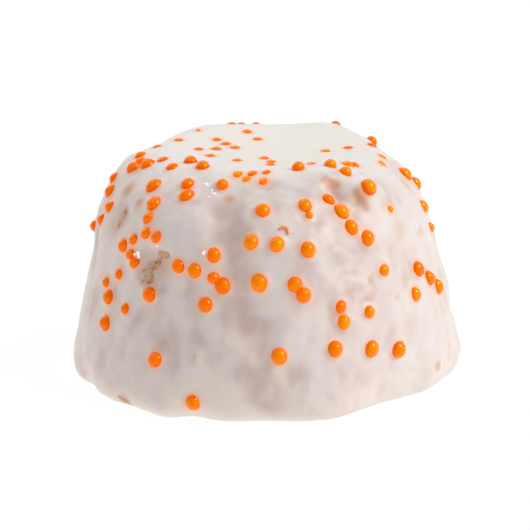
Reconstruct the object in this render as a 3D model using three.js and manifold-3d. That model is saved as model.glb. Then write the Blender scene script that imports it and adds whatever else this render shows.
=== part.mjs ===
// A bite-size carrot cake: baked in a small tapered mould, turned out with its wide end down,
// dipped whole in white glaze and strewn with orange sugar sprinkles while the glaze was wet.
// It is one uncut piece, so it is one solid: the lumpy glazed form with the sprinkles fused on.
// Millimetres, +Z up, the origin in the middle of the foot, the front of the cake towards -Y.
// Angles are in degrees from the front, positive to the right of someone facing the cake.
import * as THREE from "three";
import { mergeVertices } from "three/addons/utils/BufferGeometryUtils.js";
import Module from "manifold-3d";

// Driving dimensions of the cake.
const HEIGHT = 28;
const WIDEST_RADIUS = 24;
const WIDEST_HEIGHT = 2.8;
const FOOT_TUCK = 2.1; // how far the wall draws in under its widest ring
const TAPER = Math.tan(THREE.MathUtils.degToRad(11.3)); // lean of the mould's wall
const SHOULDER_HEIGHT = 20; // where the wall starts to round over
const SHOULDER_ROUND = 7.2; // how far in the shoulder rounds
const SHOULDER_FULLNESS = 1.75; // 2 is an ellipse, less is nearer a bevel
const POOL_SAG = 0.35; // dip in the middle of the glaze that pooled on top

// Faceting of the bare cake.
const STEPS_AROUND = 76;
const RINGS = 28;
const FOOT_RING_SHARE = 0.6;
const SAME_POINT = 1e-4; // corners nearer than this are one
const NORMAL_TURN = 1.5; // a normal is read off points this far each way, in degrees
const NORMAL_CLIMB = 0.012; // and in shares of the outline
const HALVINGS = 30; // of the outline, when a height or a radius is looked up on it

// Crumb lumps under the glaze, all over the wall and shoulder.
const CRUMB_LUMPS = 64;
const CRUMB_HEIGHTS = [3, HEIGHT - 0.8];
const CRUMB_REACH = [3.2, 6.2];
const CRUMB_PUSH = [-0.38, 0.42];
const FOOT_LOBES = 13;
const FOOT_LOBE_HEIGHTS = [0.4, 1.6];
const FOOT_LOBE_REACH = [2.6, 4.6];
const FOOT_LOBE_PUSH = [-0.95, 0.45];
const GOLDEN_ANGLE = 137.508;
const LUMP_SEED = 4271;

// Sprinkles.
const SPRINKLE_DIAMETER = [1.54, 2]; // least and most of those with a drawn size
const BIG_SPRINKLE = 2.12;
const FULL_SPRINKLE = 1.95;
const SLIGHT_SPRINKLE = 1.48;
const SMALL_SPRINKLE = 1;
const FACET_FULLNESS = 1.08; // twenty flat faces this much larger look as large as the round sprinkle
const SHOWN_ON_WALL = 0.43; // share of the diameter that stands out of the glaze
const SHOWN_ON_EDGE = 0.6; // the glaze ran off those along the edge of the top
const SHOWN_ON_TOP = 0.16; // and pooled round those on its level part
const LEVEL_FROM = 0.84; // upward part of the normal where the top's share starts to hold
const LEVEL_TO = 0.99; // and where it holds in full
const PAIR_SHARE = 0.34; // how often a sprinkle has another stuck to it
const PAIR_GAP = 1.03; // centre distance of a pair, in mean diameters
const FREE_GAP = 1.7; // least centre distance of two that aren't a pair, in diameters
const STREW_SEED = 90210;
const MOST_TRIES = 4000;

// Shapes that can be told apart from the front, each with its place on the smooth cake (angle and
// height), how far round it reaches and how far it pushes out, or in where the push is negative.
const FRONT_LUMPS = [
  { at: [-27, 21.5], reach: 8.5, push: 0.8 }, // swell left of the groove
  { at: [13, 18], reach: 9.5, push: 0.55 }, // swell right of the groove
  { at: [-13, 27.4], reach: 4.6, push: -0.6 }, // notch where glaze ran over the top edge
  { at: [42, 25.4], reach: 3.6, push: 1.7 }, // knob of crumb on the right shoulder
  { at: [32, 27.4], reach: 3.8, push: 0.75 }, // raised edge beside the knob
  { at: [28.5, 26], reach: 2.4, push: -1 }, // hollow under that edge
  { at: [38, 24.5], reach: 2.3, push: -0.9 }, // hollow under the knob
  { at: [3, 26], reach: 3.8, push: -0.35 }, // hollows under the front edge of the top
  { at: [16, 26], reach: 3.8, push: -0.35 },
  { at: [-38, 17.2], reach: 3.4, push: -0.6 }, // bare crumb, left of the middle
  { at: [-61, 22], reach: 2.8, push: -0.5 }, // bare crumb on the left shoulder
  { at: [-95, 25.2], reach: 6, push: 0.75 }, // fuller left shoulder
  { at: [-90, 19.5], reach: 4.5, push: 0.3 },
  { at: [76, 26.6], reach: 9, push: -0.12 }, // bevelled right shoulder
  { at: [88, 21.5], reach: 8, push: -0.6 }, // right wall drawn in under it
  { at: [143, 27.4], reach: 8.5, push: 1.25 }, // two humps on the far edge of the top
  { at: [-146, 27.4], reach: 8.5, push: 0.85 },
  { at: [180, 27.6], reach: 6, push: 0.4 },
  { at: [86, 3.4], reach: 6.5, push: 0.55 }, // lobe low on the right
  { at: [74, 1.2], reach: 3.2, push: 0.6 },
  { at: [62, 0.8], reach: 3, push: -0.6 },
  { at: [88, 11.6], reach: 4.2, push: 0.45 }, // right wall fuller above the lobe
  { at: [40, 0.9], reach: 10, push: -2 }, // foot drawn in on the right
  { at: [-70, 0.9], reach: 12, push: 0.4 }, // foot fuller on the left
  { at: [-40, 0.9], reach: 10, push: 0.8 },
  { at: [-21.5, 0.6], reach: 2.7, push: -1.1 }, // scallops along the foot
  { at: [-30, 0.6], reach: 4, push: 1.3 },
  { at: [-43, 0.7], reach: 2.8, push: -0.7 },
];
// The groove down the front, as evenly spaced dents between two places.
const GROOVE = { from: [-17, 25.4], to: [-3, 10], dents: 6, reach: 4.3, push: -0.62 };

// Short rows of sprinkles on the wall and shoulder of the front: the first one's angle and height, the
// step to the next, how many, and their size where it isn't a drawn one.
const WALL_ROWS = [
  { from: [25.6, 25.33], step: [0, 0], count: 1 },
  { from: [29, 24], step: [1.8, -1.75], count: 2, size: FULL_SPRINKLE },
  { from: [36.2, 20.85], step: [0, 0], count: 1, size: FULL_SPRINKLE },
  { from: [15.2, 24.9], step: [0, 0], count: 1 },
  { from: [15.9, 23.9], step: [0, 0], count: 1, size: SMALL_SPRINKLE },
  { from: [-1, 24.55], step: [0, 0], count: 1 },
  { from: [-4.7, 21.3], step: [8.4, -0.27], count: 2 },
  { from: [13.6, 20.35], step: [0, 0], count: 1 },
  { from: [-28.4, 18], step: [5.7, -0.3], count: 2 },
  { from: [-16.9, 19.65], step: [0, 0], count: 1 },
  { from: [-16.7, 17.05], step: [0, 0], count: 1, size: SLIGHT_SPRINKLE },
  { from: [-13.8, 16.2], step: [0, 0], count: 1 },
  { from: [-2, 16.7], step: [0, 0], count: 1, size: BIG_SPRINKLE },
  { from: [9, 16.5], step: [2.6, -1.25], count: 2 },
  { from: [-18.7, 13.9], step: [0, 0], count: 1 },
  { from: [23.7, 13.5], step: [0.7, -1.8], count: 2 },
  { from: [33.7, 12.35], step: [7.5, 4.45], count: 2, size: SLIGHT_SPRINKLE },
  { from: [58.5, 15.6], step: [6.5, -1.7], count: 3, size: FULL_SPRINKLE },
  { from: [54.7, 12.9], step: [0, 0], count: 1 },
  { from: [20.8, 8.75], step: [12.4, -0.7], count: 2, size: FULL_SPRINKLE },
  { from: [44.2, 7.15], step: [0, 0], count: 1, size: BIG_SPRINKLE },
  { from: [4, 8.3], step: [0, 0], count: 1, size: FULL_SPRINKLE },
  { from: [-33.4, 6.8], step: [0, 0], count: 1, size: FULL_SPRINKLE },
  { from: [-20.8, 2.45], step: [0, 0], count: 1, size: FULL_SPRINKLE },
  { from: [83.5, 25.2], step: [6.5, -1.6], count: 2 },
  { from: [78, 21.65], step: [0, 0], count: 1 },
  { from: [78.6, 18.9], step: [0, 0], count: 1, size: SLIGHT_SPRINKLE },
  { from: [41.9, 25.25], step: [0, 0], count: 1, size: FULL_SPRINKLE },
  { from: [50.8, 23.2], step: [0, 0], count: 1, size: SMALL_SPRINKLE },
  { from: [-33, 25.45], step: [0, 0], count: 1, size: FULL_SPRINKLE },
  { from: [-36.4, 26.55], step: [0, 0], count: 1 },
  { from: [-52, 25.6], step: [0, 0], count: 1, size: FULL_SPRINKLE },
  { from: [-45, 24], step: [0, 0], count: 1 },
  { from: [-44.2, 22.5], step: [0.8, -1.55], count: 2, size: SLIGHT_SPRINKLE },
  { from: [-38.4, 20.8], step: [0, 0], count: 1 },
  { from: [-49, 19.9], step: [0, 0], count: 1, size: SLIGHT_SPRINKLE },
  { from: [-54.3, 18.8], step: [0, 0], count: 1 },
  { from: [-49.9, 18.05], step: [2.4, -0.8], count: 2, size: SLIGHT_SPRINKLE },
  { from: [-54.8, 15.3], step: [-7.2, -1.6], count: 2, size: SLIGHT_SPRINKLE },
  { from: [-38.9, 14.1], step: [0, 0], count: 1, size: FULL_SPRINKLE },
  { from: [-48, 11.7], step: [0, 0], count: 1, size: SLIGHT_SPRINKLE },
  { from: [-58.4, 12.2], step: [1.2, -3.05], count: 2, size: FULL_SPRINKLE },
  { from: [-86.5, 24.15], step: [0, 0], count: 1, size: SLIGHT_SPRINKLE },
  { from: [-80.5, 23.15], step: [0, 0], count: 1 },
  { from: [-71.5, 22], step: [0, 0], count: 1 },
  { from: [-76, 20.1], step: [-13, -2], count: 2 },
];
// Rows on top, by their places in plan: to the right of the axis and behind it.
const TOP_ROWS = [
  { from: [-4.3, 12.3], step: [0, 0], count: 1 },
  { from: [-3.1, 13.8], step: [1.9, 0.6], count: 2, size: SLIGHT_SPRINKLE },
  { from: [8.7, 11.6], step: [0, 0], count: 1, size: SLIGHT_SPRINKLE },
  { from: [13.3, 2.9], step: [0, 0], count: 1, size: SLIGHT_SPRINKLE },
  { from: [-2.3, 9.1], step: [1.3, -3.1], count: 2 },
  { from: [-6.1, 5.1], step: [1.15, -1.85], count: 3 },
  { from: [-8.25, -0.1], step: [2.15, 0.5], count: 2 },
  { from: [-6.75, -3.6], step: [3.3, -2.4], count: 2 },
  { from: [-0.15, -4.5], step: [0, 0], count: 1 },
  { from: [0.7, -6.7], step: [-0.1, -1.8], count: 2 },
  { from: [5.5, -8.4], step: [0, 0], count: 1 },
  { from: [9.95, -8.1], step: [0, 0], count: 1, size: FULL_SPRINKLE },
  { from: [10.7, -7.9], step: [0, 0], count: 1, size: SLIGHT_SPRINKLE },
  { from: [7.4, -0.9], step: [2.8, 1.3], count: 2 },
  { from: [-8.5, 8.3], step: [0, 0], count: 1, size: SMALL_SPRINKLE },
  { from: [-10.9, 4.4], step: [-2.5, -2.6], count: 2 },
  { from: [-15.25, -0.4], step: [0, -2.2], count: 2 },
  { from: [-16, -3.3], step: [1.7, -1.5], count: 2 },
  { from: [-12.5, -5], step: [1.25, -3.2], count: 2 },
];
// Rows on slopes of the top that lie as low as those on its level part.
const SUNK_ROWS = [
  { from: [-3.3, -12.2], step: [1.7, -0.1], count: 2 },
  { from: [0.1, -12.4], step: [0, 0], count: 1, size: SLIGHT_SPRINKLE },
  { from: [-2.25, -13.3], step: [2, -0.9], count: 2 },
  { from: [14.4, -1.4], step: [-0.2, -2.8], count: 2 },
];
// Rows on its left shoulder that stand out as on the wall.
const SHOULDER_ROWS = [{ from: [-9, -7.5], step: [1.5, -2.3], count: 2 }];
// Rows along its edge that stand well out of the glaze.
const EDGE_ROWS = [
  { from: [3.9, -11.7], step: [0, 0], count: 1, size: SLIGHT_SPRINKLE },
  { from: [7.6, -10.8], step: [0, 0], count: 1, size: SLIGHT_SPRINKLE },
  { from: [9.3, -11.5], step: [0, 0], count: 1, size: SLIGHT_SPRINKLE },
  { from: [13.2, 8.8], step: [0, 0], count: 1, size: SLIGHT_SPRINKLE },
  { from: [-5.2, -13.9], step: [0, 0], count: 1, size: SLIGHT_SPRINKLE },
];
// The far side, which the rows leave free: bands of heights, their angles and how many lie in each.
const FAR_BANDS = [
  { heights: [23, 25.9], angles: [140, 213], count: 13 },
  { heights: [17, 22.6], angles: [117, 243], count: 18 },
  { heights: [10, 17], angles: [105, 255], count: 18 },
  { heights: [2, 10], angles: [105, 255], count: 8 },
];

const GLAZE = new THREE.MeshStandardMaterial({ color: 0xe4dcd6, roughness: 0.45, metalness: 0 });

// A number from 0 to 1 at each call, the same row of numbers for the same seed.
function makeDraw(seed) {
  let state = seed;
  return () => {
    state = (state * 16807) % 2147483647;
    return state / 2147483647;
  };
}

const within = ([low, high], share) => low + (high - low) * share;

const around = (angle, radius, height) => {
  const turn = THREE.MathUtils.degToRad(angle);
  return new THREE.Vector3(radius * Math.sin(turn), -radius * Math.cos(turn), height);
};

// The smooth wall's radius where nothing rounds it: a plain taper.
const taperedRadius = (height) => WIDEST_RADIUS - TAPER * (height - WIDEST_HEIGHT);

const TOP_RADIUS = taperedRadius(HEIGHT) - SHOULDER_ROUND;

// Half of the cake's section, from its foot up the wall, over the shoulder and in to the axis.
class CakeOutline extends THREE.Curve {
  getPoint(t, target = new THREE.Vector2()) {
    const stretch = Math.min(2, Math.floor(t * 3));
    const share = t * 3 - stretch;
    return [this.wall, this.shoulder, this.top][stretch](share, target);
  }

  wall(share, target) {
    const height = SHOULDER_HEIGHT * share;
    const under = Math.max(0, 1 - height / WIDEST_HEIGHT);
    return target.set(taperedRadius(height) - FOOT_TUCK * (1 - Math.sqrt(1 - under * under)), height);
  }

  shoulder(share, target) {
    const turn = (share * Math.PI) / 2;
    const height = SHOULDER_HEIGHT + (HEIGHT - SHOULDER_HEIGHT) * Math.sin(turn) ** (2 / SHOULDER_FULLNESS);
    const drawnIn = 1 - Math.cos(turn) ** (2 / SHOULDER_FULLNESS);
    return target.set(taperedRadius(height) - SHOULDER_ROUND * drawnIn, height);
  }

  top(share, target) {
    return target.set(TOP_RADIUS * (1 - share), HEIGHT - POOL_SAG * share * (2 - share));
  }
}

const outline = new CakeOutline();

// How far up the outline, as a share of its length, the points stop being below what is asked.
function shareWhere(isBelow) {
  let low = 0;
  let high = 1;
  for (let i = 0; i < HALVINGS; i++) {
    const middle = (low + high) / 2;
    if (isBelow(outline.getPointAt(middle))) low = middle;
    else high = middle;
  }
  return (low + high) / 2;
}

const shareAtHeight = (height) => shareWhere((point) => point.y < height && point.x > TOP_RADIUS);
const shareAtRadius = (radius) => shareWhere((point) => point.y < SHOULDER_HEIGHT || point.x > radius);

// The smooth cake's outward direction, never downwards, so that the foot stays flat.
function outward(angle, share) {
  const along = outline.getTangentAt(share);
  return around(angle, along.y, Math.max(0, -along.x)).normalize();
}

function lump({ at: [angle, height], reach, push }) {
  const share = shareAtHeight(height);
  const place = outline.getPointAt(share);
  return {
    centre: around(angle, place.x, place.y),
    reach,
    push: outward(angle, share).multiplyScalar(push),
  };
}

function grooveDents({ from, to, dents, reach, push }) {
  return Array.from({ length: dents }, (_, i) => {
    const along = i / (dents - 1);
    return { at: [within([from[0], to[0]], along), within([from[1], to[1]], along)], reach, push };
  });
}

// Lumps in a golden-angle spread over a band of heights, so that they cover it evenly.
function spreadLumps(count, [lowest, highest], reach, push, draw) {
  return Array.from({ length: count }, (_, i) => ({
    at: [(i * GOLDEN_ANGLE) % 360, within([lowest, highest], (i + draw()) / count)],
    reach: within(reach, draw()),
    push: within(push, draw()),
  }));
}

function allLumps() {
  const draw = makeDraw(LUMP_SEED);
  return [
    ...FRONT_LUMPS,
    ...grooveDents(GROOVE),
    ...spreadLumps(CRUMB_LUMPS, CRUMB_HEIGHTS, CRUMB_REACH, CRUMB_PUSH, draw),
    ...spreadLumps(FOOT_LOBES, FOOT_LOBE_HEIGHTS, FOOT_LOBE_REACH, FOOT_LOBE_PUSH, draw),
  ].map(lump);
}

const lumps = allLumps();

// Moves a point of the smooth cake to where it is on the lumpy one.
function pressed(point) {
  const onFoot = point.z < SAME_POINT;
  for (const { centre, reach, push } of lumps) {
    const near = 1 - point.distanceTo(centre) / reach;
    if (near > 0) point.addScaledVector(push, near * near * (3 - 2 * near));
  }
  if (onFoot) point.z = 0;
  return point;
}

function smoothPoint({ angle, share }) {
  const place = outline.getPointAt(share);
  return around(angle, place.x, place.y);
}

const lumpyPoint = (angle, share) => pressed(smoothPoint({ angle, share }));

function lumpyNormal(angle, share) {
  const along = lumpyPoint(angle, share + NORMAL_CLIMB).sub(lumpyPoint(angle, share - NORMAL_CLIMB));
  const across = lumpyPoint(angle + NORMAL_TURN, share).sub(lumpyPoint(angle - NORMAL_TURN, share));
  return across.cross(along).normalize();
}

const wasm = await Module();
wasm.setup();

function solidOf(geometry) {
  geometry.deleteAttribute("normal");
  geometry.deleteAttribute("uv");
  const merged = mergeVertices(geometry, SAME_POINT);
  return new wasm.Manifold(
    new wasm.Mesh({
      numProp: 3,
      vertProperties: merged.attributes.position.array,
      triVerts: new Uint32Array(merged.index.array),
    }),
  );
}

function geometryOf(solid) {
  const mesh = solid.getMesh();
  const geometry = new THREE.BufferGeometry();
  geometry.setAttribute("position", new THREE.BufferAttribute(mesh.vertProperties, mesh.numProp));
  geometry.setIndex(new THREE.BufferAttribute(mesh.triVerts, 1));
  geometry.computeVertexNormals();
  return geometry;
}

function bareCake() {
  const section = outline.getSpacedPoints(RINGS);
  const footRadius = section[0].x;
  section.unshift(new THREE.Vector2(0, 0), new THREE.Vector2(footRadius * FOOT_RING_SHARE, 0));
  section[section.length - 1].x = 0;
  const geometry = new THREE.LatheGeometry(section, STEPS_AROUND).rotateX(Math.PI / 2);
  const position = geometry.attributes.position;
  const point = new THREE.Vector3();
  for (let i = 0; i < position.count; i++) {
    pressed(point.fromBufferAttribute(position, i));
    position.setXYZ(i, point.x, point.y, point.z);
  }
  return solidOf(geometry);
}

function drawnDiameter(draw) {
  return within(SPRINKLE_DIAMETER, (draw() + draw()) / 2);
}

const placeOnWall = (angle, height) => ({ angle, share: shareAtHeight(height) });

const placeOnTop = (right, behind) => ({
  angle: THREE.MathUtils.radToDeg(Math.atan2(right, -behind)),
  share: shareAtRadius(Math.hypot(right, behind)),
});

// The sprinkles of short rows, each with its angle, share of the outline, diameter and, where the
// rows set it, the share of it that stands out of the glaze.
function inRows(rows, draw, placeOf, shown) {
  return rows.flatMap(({ from, step, count, size }) =>
    Array.from({ length: count }, (_, i) => ({
      ...placeOf(from[0] + step[0] * i, from[1] + step[1] * i),
      diameter: size ?? drawnDiameter(draw),
      shown,
    })),
  );
}

function crowds(sprinkle, other) {
  return smoothPoint(sprinkle).distanceTo(smoothPoint(other)) < FREE_GAP * sprinkle.diameter;
}

// Strews one band of the far side: each try draws a place, and is dropped where it crowds another.
function strewBand({ heights, angles, count }, sprinkles, draw) {
  const wanted = sprinkles.length + count;
  for (let i = 0; i < MOST_TRIES && sprinkles.length < wanted; i++) {
    const angle = within(angles, draw());
    const share = shareAtHeight(within(heights, draw()));
    const sprinkle = { angle, share, diameter: drawnDiameter(draw) };
    if (sprinkles.some((other) => crowds(sprinkle, other))) continue;
    sprinkles.push(sprinkle);
    if (draw() < PAIR_SHARE) sprinkles.push(partner(sprinkle, draw));
  }
}

// A second sprinkle against the first, in a drawn direction on the glaze.
function partner({ angle, share, diameter }, draw) {
  const own = drawnDiameter(draw);
  const gap = (PAIR_GAP * (diameter + own)) / 2;
  const turn = 2 * Math.PI * draw();
  const across = THREE.MathUtils.radToDeg((gap * Math.cos(turn)) / outline.getPointAt(share).x);
  return { angle: angle + across, share: share + (gap * Math.sin(turn)) / outline.getLength(), diameter: own };
}

function allSprinkles() {
  const draw = makeDraw(STREW_SEED);
  const sprinkles = [
    ...inRows(WALL_ROWS, draw, placeOnWall),
    ...inRows(TOP_ROWS, draw, placeOnTop),
    ...inRows(SUNK_ROWS, draw, placeOnTop, SHOWN_ON_TOP),
    ...inRows(SHOULDER_ROWS, draw, placeOnTop, SHOWN_ON_WALL),
    ...inRows(EDGE_ROWS, draw, placeOnTop, SHOWN_ON_EDGE),
  ];
  for (const band of FAR_BANDS) strewBand(band, sprinkles, draw);
  return sprinkles;
}

// A sprinkle is a little more than half sunk in the glaze, and deeper where the glaze lies level,
// unless its row says how far it stands out. One of its corners points straight out of the glaze.
function sprinkleSolid({ angle, share, diameter, shown }) {
  const normal = lumpyNormal(angle, share);
  const level = THREE.MathUtils.smoothstep(normal.z, LEVEL_FROM, LEVEL_TO);
  const standing = shown ?? within([SHOWN_ON_WALL, SHOWN_ON_TOP], level);
  const centre = lumpyPoint(angle, share).addScaledVector(normal, diameter * (standing - 0.5));
  const geometry = new THREE.IcosahedronGeometry((FACET_FULLNESS * diameter) / 2);
  const corner = new THREE.Vector3().fromBufferAttribute(geometry.attributes.position, 0).normalize();
  geometry.applyQuaternion(new THREE.Quaternion().setFromUnitVectors(corner, normal));
  geometry.translate(centre.x, centre.y, centre.z);
  return solidOf(geometry);
}

function cakeBite() {
  const solid = allSprinkles().reduce((cake, sprinkle) => cake.add(sprinkleSolid(sprinkle)), bareCake());
  const mesh = new THREE.Mesh(geometryOf(solid), GLAZE);
  mesh.name = "cake_bite";
  return mesh;
}

const part = new THREE.Group();
part.add(cakeBite());

export default part;
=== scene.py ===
"""A glazed carrot cake bite, laid out as an add-on.

The cake's outline is spun into a coat of glaze and lumped by soft pulls, orange sugar sprinkles are
pressed into it, and bare crumb and sugar bits are added. Sizes are in metres and places are given as
an angle from the front, in degrees and positive to the right, and a height in millimetres.
"""
import math
from contextlib import contextmanager

import bmesh
import bpy
import numpy as np
from bpy.props import FloatProperty, FloatVectorProperty, IntProperty, PointerProperty
from mathutils import Matrix, Vector
from mathutils.bvhtree import BVHTree


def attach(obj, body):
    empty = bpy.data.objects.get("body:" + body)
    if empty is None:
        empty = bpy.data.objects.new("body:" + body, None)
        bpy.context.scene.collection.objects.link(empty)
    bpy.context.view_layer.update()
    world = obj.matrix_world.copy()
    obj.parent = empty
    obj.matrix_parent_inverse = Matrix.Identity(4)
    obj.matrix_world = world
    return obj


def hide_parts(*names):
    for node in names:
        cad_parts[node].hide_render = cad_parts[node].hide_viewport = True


bl_info = {
    "name": "Carrot cake bite",
    "version": (1, 0, 0),
    "blender": (4, 5, 0),
    "location": "3D View > Sidebar > Cake bite",
    "description": "Models a bite-size carrot cake in white glaze with orange sugar sprinkles",
    "category": "Add Mesh",
}

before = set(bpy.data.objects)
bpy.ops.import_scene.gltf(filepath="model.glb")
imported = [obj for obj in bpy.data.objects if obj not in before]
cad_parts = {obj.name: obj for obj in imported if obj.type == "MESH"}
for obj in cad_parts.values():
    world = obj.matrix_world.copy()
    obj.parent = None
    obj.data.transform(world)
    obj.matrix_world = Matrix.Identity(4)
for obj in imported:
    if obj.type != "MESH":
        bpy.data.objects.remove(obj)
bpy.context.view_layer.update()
CAKE_NODE = "cake_bite"
BODY = "root"
MM = 0.001

COAT = "glaze_coat"

# The random draws: what each is multiplied by, the number that it is kept under, and the seeds.
DRAW_FACTOR = 16807
DRAW_LIMIT = 2147483647
LUMP_SEED = 4271
STREW_SEED = 90210
SHAPE_SEED = 1177
TONE_SEED = 2903
GRAIN_SEED = 5309
GRAIN_SHAPE_SEED = 7
CRYSTAL_SEED = 811

# How finely the outline, the coat and its normals are worked out, and when two points count as one.
OUTLINE_POINTS = 1500
OUTLINE_STEP = 0.002
NORMAL_TURN = 1.5
NORMAL_CLIMB = 0.012
RAY_START = 6 * MM
WEIGHT_LEVELS = 48
COAT_SMOOTHINGS = 6
HOLLOW_SMOOTHINGS = 10
SAME_POINT = 1e-6

# Soft changes over the coat: heights, drops from the top, reaches, or upward parts of the normal.
RELIEF_FROM_FOOT = (0.3 * MM, 2 * MM)
RELIEF_LEVEL = (0.8, 0.99)
POOL_LEVEL = (0.62, 0.95)
POOL_DROP = (4 * MM, 1.2 * MM)
IVORY_REACH = (3 * MM, 18 * MM)
COLLAR_LEVEL = (0.8, 0.98)
COLLAR_LOST_ON_TOP = 0.85
DYE_FALL = 1.7
SPOT_CORE = 0.15
BARE_SPREAD = 2.2
PIT_MIDDLE = 0.62
PIT_DETAIL = 2

# Soft changes over the sprinkles: angles, heights, places to the right, or upward parts of the normal.
ROUNDER_ON_LEFT = (-40, -15)
LEAN_LEFT_BEYOND = (-26, -38)
LEAN_LEFT_ABOVE = (14 * MM, 19 * MM)
LEAN_RIGHT_BEYOND = (32, 62)
LEAN_RIGHT_UNTIL = (110, 80)
LEAN_WHERE_STEEP = (0.9, 0.3)
TALL_LEFT_ABOVE = (22 * MM, 25 * MM)
TALL_WHERE_STEEP = (0.92, 0.78)
# Painted shade on the sprinkles: places to the right over which their tone is held redder on the left, and
# the least share of it kept there.
PAINTED_SHADE_ON_LEFT = (-15 * MM, 3 * MM)
DEEPEST_PAINTED_SHADE = 0.2

# Sprinkles and loose bits as modelled, in their own radii or sizes.
DOME_SEGMENTS = 14
DOME_RINGS = 7
DOME_CUT = -0.35
# Share of a sprinkle's shown height that gets painted shade where it meets the glaze.
CONTACT_SHADE_WIDTH = 0.5
GRAINS_PER_STREAK = 6
GRAIN_TURN = 2.4
GRAIN_LOWEST = 0.3
GRAIN_LIFT = -0.35
GRAIN_LUMPS = 0.3
CHIP_SIZE = 2
CHIP_STRETCH = (0.8, 0.8, 1.7)
CHIP_LIFT = 0.2
CRYSTAL_SPREAD = 2.2
CRYSTAL_CLIMB = 3
CRYSTAL_SIZES = (0.6, 1.4)
CRYSTAL_LIFT = 0.6
CRYSTAL_SHAPE = (1, 0.8, 0.9)
CRYSTAL_BEVEL = 0.3
# Planes that cut the broken shell: the side that stays, and how far out it starts.
SHELL_CUTS = (((0, 0, 1), -0.25), ((0, 0, -1), -0.3), ((0.6, 0.8, 0), 0.2))

# The turn from one crumb lump or foot lobe to the next, which spreads them evenly.
GOLDEN_ANGLE = 137.508
# Crumb lumps all over, as counts, heights, reaches and pushes in millimetres.
CRUMB_LUMPS = {"count": 64, "heights": (3, 27.2), "reach": (3.2, 6.2), "push": (-0.38, 0.42)}
FOOT_LOBES = {"count": 13, "heights": (0.4, 1.6), "reach": (2.6, 4.6), "push": (-0.95, 0.45)}

# Shapes that can be told apart from the front: angle, height, reach and push out, in millimetres.
FRONT_LUMPS = (
    (-27, 21.5, 8.5, 0.8),  # swell left of the groove
    (13, 18, 9.5, 0.55),  # swell right of the groove
    (-13, 27.4, 4.6, -0.6),  # notch where glaze ran over the top edge
    (42, 25.4, 3.6, 1.7),  # knob of crumb on the right shoulder
    (32, 27.4, 3.8, 0.75),  # raised edge beside the knob
    (28.5, 26, 2.4, -1.0),  # hollow under that edge
    (38, 24.5, 2.3, -0.9),  # hollow under the knob
    (3, 26, 3.8, -0.35),  # hollows under the front edge of the top
    (16, 26, 3.8, -0.35),
    (-38, 17.2, 3.4, -0.6),  # bare crumb, left of the middle
    (-61, 22, 2.8, -0.5),  # bare crumb on the left shoulder
    (-95, 25.2, 6, 0.75),  # fuller left shoulder
    (-90, 19.5, 4.5, 0.3),
    (76, 26.6, 9, -0.12),  # bevelled right shoulder
    (88, 21.5, 8, -0.6),  # right wall drawn in under it
    (143, 27.4, 8.5, 1.25),  # two humps on the far edge of the top
    (-146, 27.4, 8.5, 0.85),
    (180, 27.6, 6, 0.4),
    (86, 3.4, 6.5, 0.55),  # lobe low on the right
    (74, 1.2, 3.2, 0.6),
    (62, 0.8, 3, -0.6),
    (88, 11.6, 4.2, 0.45),  # right wall fuller above the lobe
    (40, 0.9, 10, -2.0),  # foot drawn in on the right
    (-70, 0.9, 12, 0.4),  # foot fuller on the left
    (-40, 0.9, 10, 0.8),
    (-21.5, 0.6, 2.7, -1.1),  # scallops along the foot
    (-30, 0.6, 4, 1.3),
    (-43, 0.7, 2.8, -0.7),
)
# The groove down the front: two ends as angle and height, how many dents, their reach and push.
GROOVE_ENDS = ((-17, 25.4), (-3, 10))
GROOVE_DENTS = 6
GROOVE_REACH = 4.3
GROOVE_PUSH = -0.62

# Sprinkles on the wall: angle, height, size if not drawn, then for a row its count and its two steps.
WALL_ROWS = (
    (25.6, 25.33, None), (29, 24, "full", 2, 1.8, -1.75), (36.2, 20.85, "full"), (15.2, 24.9, None),
    (15.9, 23.9, "small"), (-1, 24.55, None), (-4.7, 21.3, None, 2, 8.4, -0.27),
    (13.6, 20.35, None), (-28.4, 18, None, 2, 5.7, -0.3), (-16.9, 19.65, None),
    (-16.7, 17.05, "slight"), (-13.8, 16.2, None), (-2, 16.7, "big"),
    (9, 16.5, None, 2, 2.6, -1.25), (-18.7, 13.9, None), (23.7, 13.5, None, 2, 0.7, -1.8),
    (33.7, 12.35, "slight", 2, 7.5, 4.45), (58.5, 15.6, "full", 3, 6.5, -1.7), (54.7, 12.9, None),
    (20.8, 8.75, "full", 2, 12.4, -0.7), (44.2, 7.15, "big"), (4, 8.3, "full"),
    (-33.4, 6.8, "full"), (-20.8, 2.45, "full"), (83.5, 25.2, None, 2, 6.5, -1.6),
    (78, 21.65, None), (78.6, 18.9, "slight"), (41.9, 25.25, "full"), (50.8, 23.2, "small"),
    (-33, 25.45, "full"), (-36.4, 26.55, None), (-52, 25.6, "full"), (-45, 24, None),
    (-44.2, 22.5, "slight", 2, 0.8, -1.55), (-38.4, 20.8, None), (-49, 19.9, "slight"),
    (-54.3, 18.8, None), (-49.9, 18.05, "slight", 2, 2.4, -0.8),
    (-54.8, 15.3, "slight", 2, -7.2, -1.6), (-38.9, 14.1, "full"), (-48, 11.7, "slight"),
    (-58.4, 12.2, "full", 2, 1.2, -3.05), (-86.5, 24.15, "slight"), (-80.5, 23.15, None),
    (-71.5, 22, None), (-76, 20.1, None, 2, -13, -2),
)
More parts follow.
